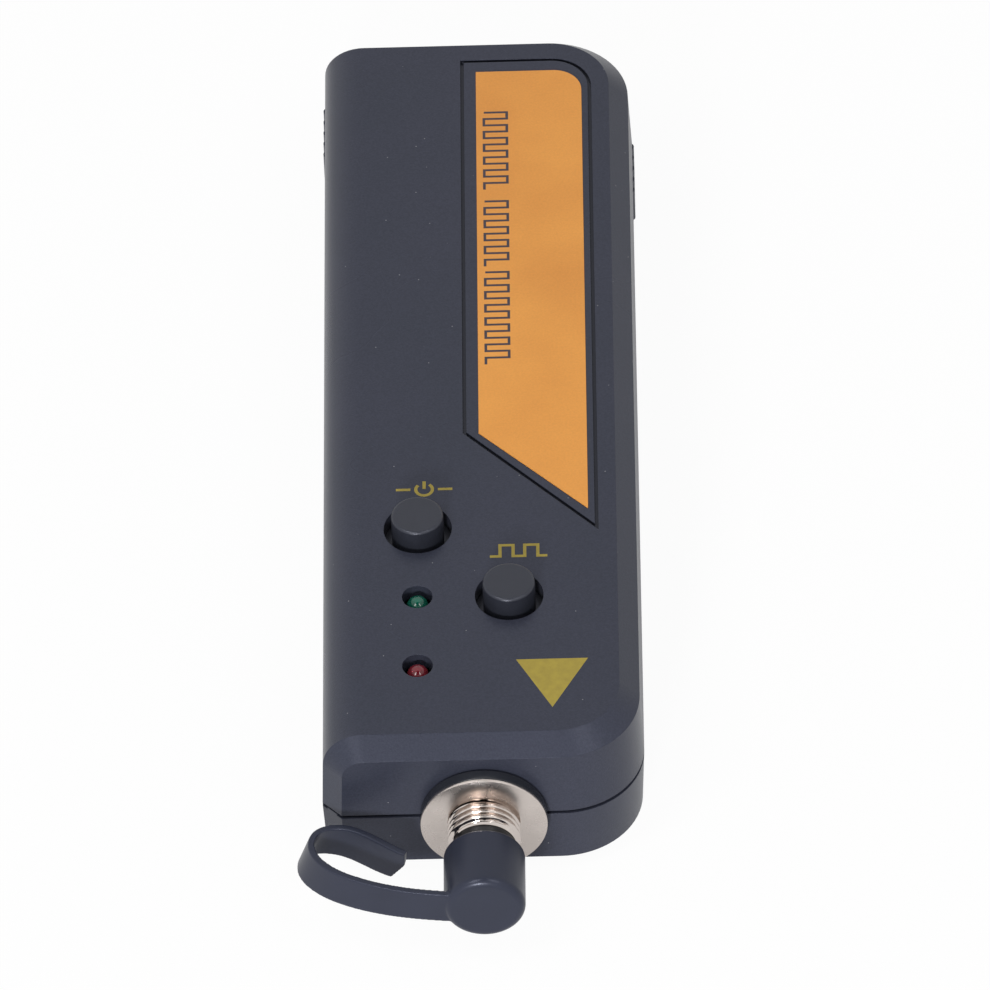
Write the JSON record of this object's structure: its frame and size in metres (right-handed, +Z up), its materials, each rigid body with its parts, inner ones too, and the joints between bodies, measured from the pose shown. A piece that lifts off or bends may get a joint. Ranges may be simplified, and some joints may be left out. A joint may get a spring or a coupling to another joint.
{
  "type": "visual fault locator",
  "caption": "Hand-held red-light source for tracing breaks in optical fibre: two-part housing, push keys, indicator lamps, threaded ferrule port with a capped nose, slide-off battery cover.",
  "frame": {"origin": "centre of the flat underside of the housing", "axes": "+Z up out of the panel with the keys, -Y towards the nose with the port, +X to the right as seen from above with the nose nearest"},
  "size_m": [0.0478, 0.1585, 0.0276],
  "materials": {
    "shell_plastic": "fine spark-eroded moulded grain",
    "label_film": "satin polycarbonate film",
    "key_plastic": "fine matt moulding",
    "switch_plastic": "plain moulding",
    "stem_plastic": "plain natural moulding",
    "green_epoxy": "clear tinted casting",
    "red_epoxy": "clear tinted casting",
    "board_laminate": "solder resist over glass cloth",
    "chip_epoxy": "moulded epoxy",
    "chip_ceramic": "fired ceramic with tinned ends",
    "collar_rubber": "plain black washer",
    "nickel_plate": "turned brass, nickel plated and polished",
    "guide_plastic": "plain turned black acetal",
    "sleeve_ceramic": "ground white zirconia",
    "turned_brass": "turned and left bare",
    "diode_steel": "gold-flashed can",
    "lens_glass": "polished",
    "cap_rubber": "matt moulding",
    "tray_plastic": "plain moulding",
    "cell_jacket": "plain metallic jacket, unprinted",
    "contact_nickel": "nickel-plated spring strip",
    "screw_zinc": "zinc plated"
  },
  "bodies": {
    "housing": {"top_shell": "shell_plastic", "bottom_shell": "shell_plastic", "orange_label": "label_film", "power_switch_body": "switch_plastic", "mode_switch_body": "switch_plastic", "power_led": "green_epoxy", "battery_led": "red_epoxy", "circuit_board": "board_laminate", "driver_chip": "chip_epoxy", "chip_parts": "chip_ceramic", "nose_collar": "collar_rubber", "adapter_barrel": "nickel_plate", "ferrule_guide": "guide_plastic", "ferrule_sleeve": "sleeve_ceramic", "barrel_nut": "nickel_plate", "laser_barrel": "turned_brass", "laser_diode": "diode_steel", "focus_lens": "lens_glass", "battery_tray": "tray_plastic", "left_cell": "cell_jacket", "right_cell": "cell_jacket", "left_contact": "contact_nickel", "right_contact": "contact_nickel", "link_plate": "contact_nickel", "housing_screws": "screw_zinc", "board_screws": "screw_zinc", "tray_screws": "screw_zinc"},
    "power_button": {"power_key": "key_plastic", "power_switch_stem": "stem_plastic"},
    "mode_button": {"mode_key": "key_plastic", "mode_switch_stem": "stem_plastic"},
    "rear_cover": {"battery_cover": "shell_plastic"},
    "port_cap": {"dust_cap": "cap_rubber"}
  },
  "joints": [
    {"name": "power_key_press", "type": "slide", "parent": "housing", "child": "power_button", "axis": [0, 0, -1], "range_m": [0, 0.002], "stiffness_N_per_m": 500, "springref_m": -0.001},
    {"name": "mode_key_press", "type": "slide", "parent": "housing", "child": "mode_button", "axis": [0, 0, -1], "range_m": [0, 0.002], "stiffness_N_per_m": 500, "springref_m": -0.001},
    {"name": "battery_cover_slide", "type": "slide", "parent": "housing", "child": "rear_cover", "axis": [0, 1, 0], "range_m": [0, 0.055]},
    {"name": "dust_cap_pull", "type": "slide", "parent": "housing", "child": "port_cap", "axis": [0, -1, 0], "range_m": [0, 0.06]}
  ]
}
